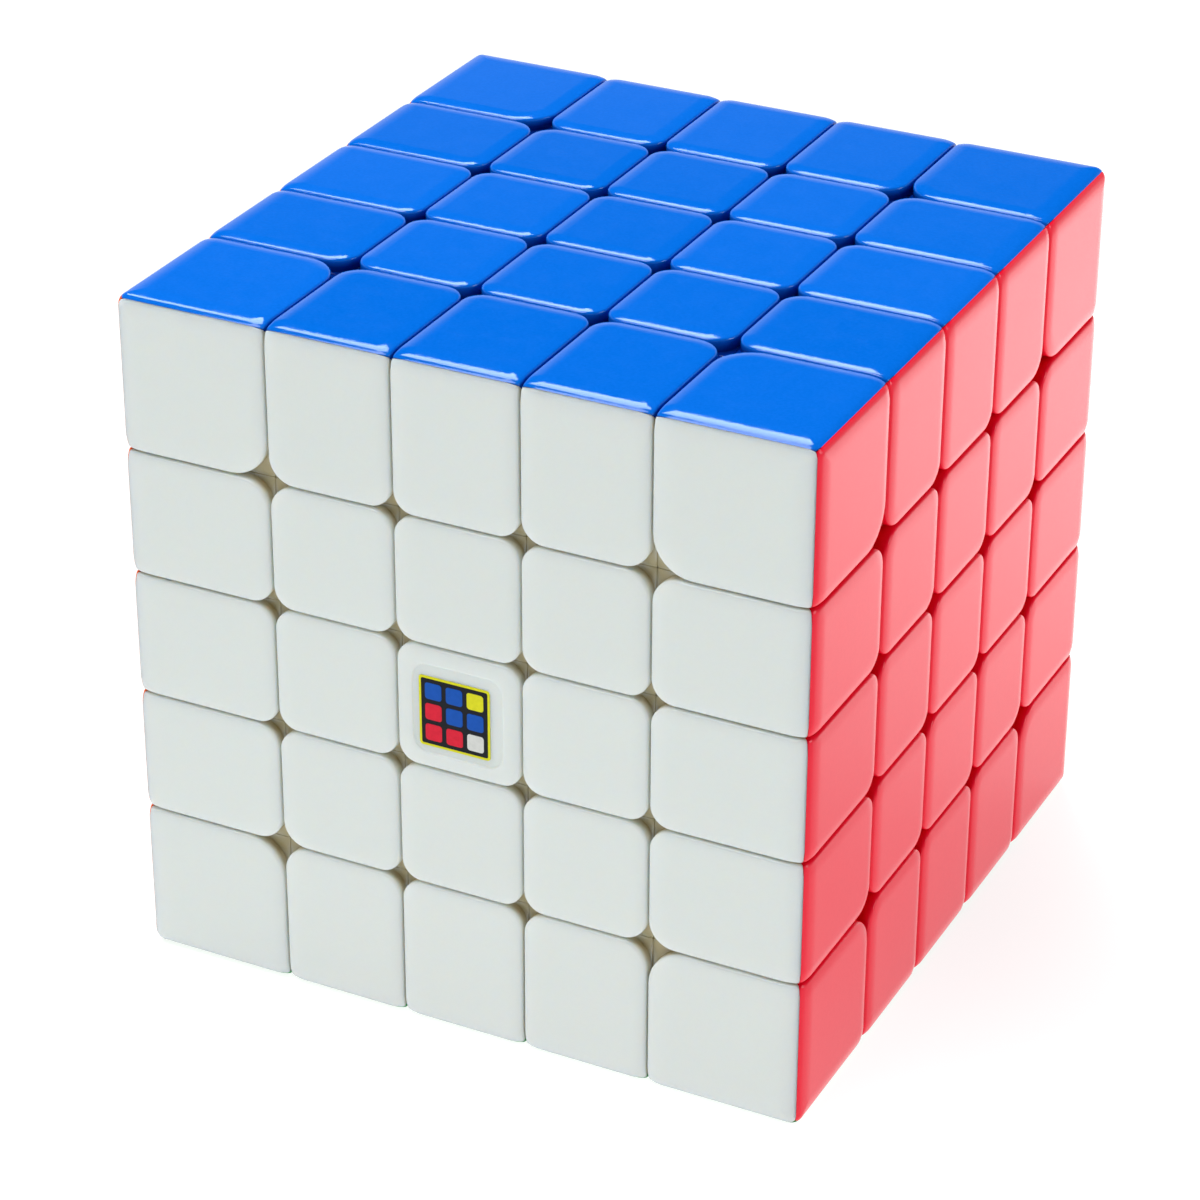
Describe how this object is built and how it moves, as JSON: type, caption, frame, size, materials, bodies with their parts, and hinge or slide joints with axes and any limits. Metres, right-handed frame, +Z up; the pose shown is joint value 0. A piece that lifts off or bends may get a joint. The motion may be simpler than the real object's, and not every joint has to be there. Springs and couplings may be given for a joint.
{
  "type": "twisty puzzle cube",
  "caption": "Twisty puzzle cube of coloured interlocking blocks whose layers turn about a screw-held core.",
  "frame": {"origin": "centre of the bottom (green) face, which the cube stands on", "axes": "+Z up through the top (blue) face, -Y out of the front (white) face, +X out of the right (red) face"},
  "size_m": [0.062, 0.062, 0.062],
  "materials": {
    "blue_plastic": "satin-gloss moulded blue plastic, coloured right through",
    "white_plastic": "satin-gloss moulded white plastic, coloured right through",
    "red_plastic": "satin-gloss moulded red plastic, coloured right through",
    "green_plastic": "satin-gloss moulded green plastic, coloured right through",
    "yellow_plastic": "satin-gloss moulded yellow plastic, coloured right through",
    "orange_plastic": "satin-gloss moulded orange plastic, coloured right through",
    "core_plastic": "matt dark moulded plastic",
    "screw_steel": "plated steel screw with a wound wire spring"
  },
  "bodies": {
    "middle_layer": {"core": "core_plastic", "edge_middle_back_left": "yellow_plastic", "edge_middle_back_right": "red_plastic", "edge_middle_front_left": "orange_plastic", "edge_middle_front_right": "white_plastic", "hub_row_back": "yellow_plastic", "hub_row_front": "white_plastic", "hub_row_left": "orange_plastic", "hub_row_right": "red_plastic", "screw_back": "screw_steel", "screw_bottom": "screw_steel", "screw_front": "screw_steel", "screw_left": "screw_steel", "screw_right": "screw_steel", "screw_top": "screw_steel"},
    "top_layer": {"centre_row_top_back": "blue_plastic", "centre_row_top_front": "blue_plastic", "corner_top_back_left": "blue_plastic", "corner_top_back_right": "blue_plastic", "corner_top_front_left": "blue_plastic", "corner_top_front_right": "blue_plastic", "edge_row_top_back": "blue_plastic", "edge_row_top_front": "blue_plastic", "edge_row_top_left": "blue_plastic", "edge_row_top_right": "blue_plastic", "hub_row_top": "blue_plastic"},
    "upper_layer": {"centre_row_upper_back": "yellow_plastic", "centre_row_upper_front": "white_plastic", "centre_row_upper_left": "orange_plastic", "centre_row_upper_right": "red_plastic", "edge_upper_back_left": "yellow_plastic", "edge_upper_back_right": "red_plastic", "edge_upper_front_left": "orange_plastic", "edge_upper_front_right": "white_plastic"},
    "lower_layer": {"centre_row_lower_back": "yellow_plastic", "centre_row_lower_front": "white_plastic", "centre_row_lower_left": "orange_plastic", "centre_row_lower_right": "red_plastic", "edge_lower_back_left": "yellow_plastic", "edge_lower_back_right": "red_plastic", "edge_lower_front_left": "orange_plastic", "edge_lower_front_right": "white_plastic"},
    "bottom_layer": {"centre_row_bottom_back": "green_plastic", "centre_row_bottom_front": "green_plastic", "corner_bottom_back_left": "green_plastic", "corner_bottom_back_right": "green_plastic", "corner_bottom_front_left": "green_plastic", "corner_bottom_front_right": "green_plastic", "edge_row_bottom_back": "green_plastic", "edge_row_bottom_front": "green_plastic", "edge_row_bottom_left": "green_plastic", "edge_row_bottom_right": "green_plastic", "hub_row_bottom": "green_plastic"},
    "cap_back": {"cap_back": "yellow_plastic"},
    "cap_bottom": {"cap_bottom": "green_plastic"},
    "cap_front": {"cap_front": "white_plastic"},
    "cap_left": {"cap_left": "orange_plastic"},
    "cap_right": {"cap_right": "red_plastic"},
    "cap_top": {"cap_top": "blue_plastic"}
  },
  "joints": [
    {"name": "top_layer_turn", "type": "hinge", "parent": "middle_layer", "child": "top_layer", "pos_m": [0, 0, 0.031], "axis": [0, 0, 1], "continuous": true},
    {"name": "upper_layer_turn", "type": "hinge", "parent": "middle_layer", "child": "upper_layer", "pos_m": [0, 0, 0.031], "axis": [0, 0, 1], "continuous": true},
    {"name": "lower_layer_turn", "type": "hinge", "parent": "middle_layer", "child": "lower_layer", "pos_m": [0, 0, 0.031], "axis": [0, 0, 1], "continuous": true},
    {"name": "bottom_layer_turn", "type": "hinge", "parent": "middle_layer", "child": "bottom_layer", "pos_m": [0, 0, 0.031], "axis": [0, 0, 1], "continuous": true},
    {"name": "cap_front_lift", "type": "slide", "parent": "middle_layer", "child": "cap_front", "axis": [0, -1, 0], "range_m": [0, 0.008]},
    {"name": "cap_back_lift", "type": "slide", "parent": "middle_layer", "child": "cap_back", "axis": [0, 1, 0], "range_m": [0, 0.008]},
    {"name": "cap_right_lift", "type": "slide", "parent": "middle_layer", "child": "cap_right", "axis": [1, 0, 0], "range_m": [0, 0.008]},
    {"name": "cap_left_lift", "type": "slide", "parent": "middle_layer", "child": "cap_left", "axis": [-1, 0, 0], "range_m": [0, 0.008]},
    {"name": "cap_top_lift", "type": "slide", "parent": "top_layer", "child": "cap_top", "axis": [0, 0, 1], "range_m": [0, 0.008]},
    {"name": "cap_bottom_lift", "type": "slide", "parent": "bottom_layer", "child": "cap_bottom", "axis": [0, 0, -1], "range_m": [0, 0.008]}
  ]
}
